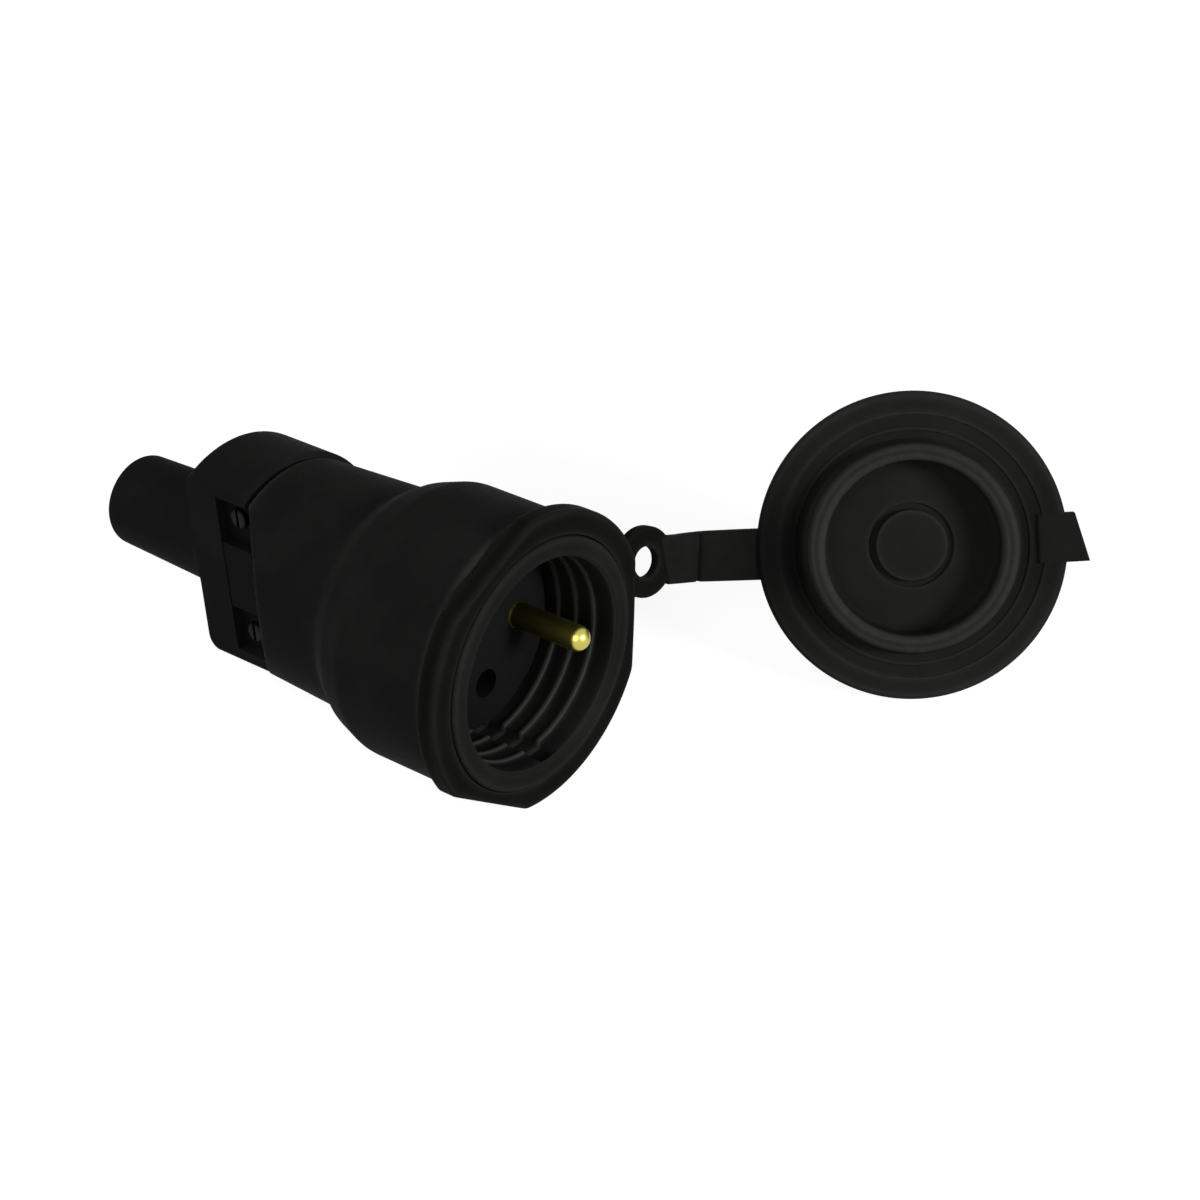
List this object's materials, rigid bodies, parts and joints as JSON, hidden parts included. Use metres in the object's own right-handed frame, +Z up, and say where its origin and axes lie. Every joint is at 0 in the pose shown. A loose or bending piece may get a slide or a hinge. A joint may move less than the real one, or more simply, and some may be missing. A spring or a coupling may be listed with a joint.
{
  "type": "inline socket connector",
  "caption": "Inline mains socket connector with tapered rubber housing, recessed socket with earth pin, cable sleeve and tethered sealing lid.",
  "frame": {"origin": "centre of the socket's mouth, on its axis", "axes": "+X is the level direction in which the socket's mouth looks, +Z is up as the connector lies with its lid open, +Y towards the tether's eyelet and the lid"},
  "size_m": [0.1635, 0.1174, 0.0563],
  "materials": {
    "rubber_black": "satin moulded rubber",
    "carrier_plastic": "matt moulded insulating plastic",
    "brass_contact": "turned, bright",
    "steel_screw": "plated"
  },
  "bodies": {
    "connector": {"assembly_screw_left": "steel_screw", "assembly_screw_right": "steel_screw", "cable_grommet": "rubber_black", "carrier_back": "carrier_plastic", "carrier_screw_left": "steel_screw", "carrier_screw_right": "steel_screw", "clamp_plate": "carrier_plastic", "clamp_screw_lower": "steel_screw", "clamp_screw_upper": "steel_screw", "contact_carrier": "carrier_plastic", "cover_gasket": "rubber_black", "earth_pin": "brass_contact", "earth_terminal_screw": "steel_screw", "housing": "rubber_black", "lid_tether": "rubber_black", "line_clip": "steel_screw", "line_contact": "brass_contact", "line_terminal_screw": "steel_screw", "neutral_clip": "steel_screw", "neutral_contact": "brass_contact", "neutral_terminal_screw": "steel_screw", "rear_cover": "rubber_black"},
    "lid": {"lid": "rubber_black"}
  },
  "joints": [
    {"name": "lid_hinge", "type": "hinge", "parent": "connector", "child": "lid", "pos_m": [0.0014, 0.04038, -0.0041], "axis": [0.3153, -0.2145, -0.9244], "range_deg": [-40, 131], "stiffness_Nm_per_rad": 0.05}
  ]
}
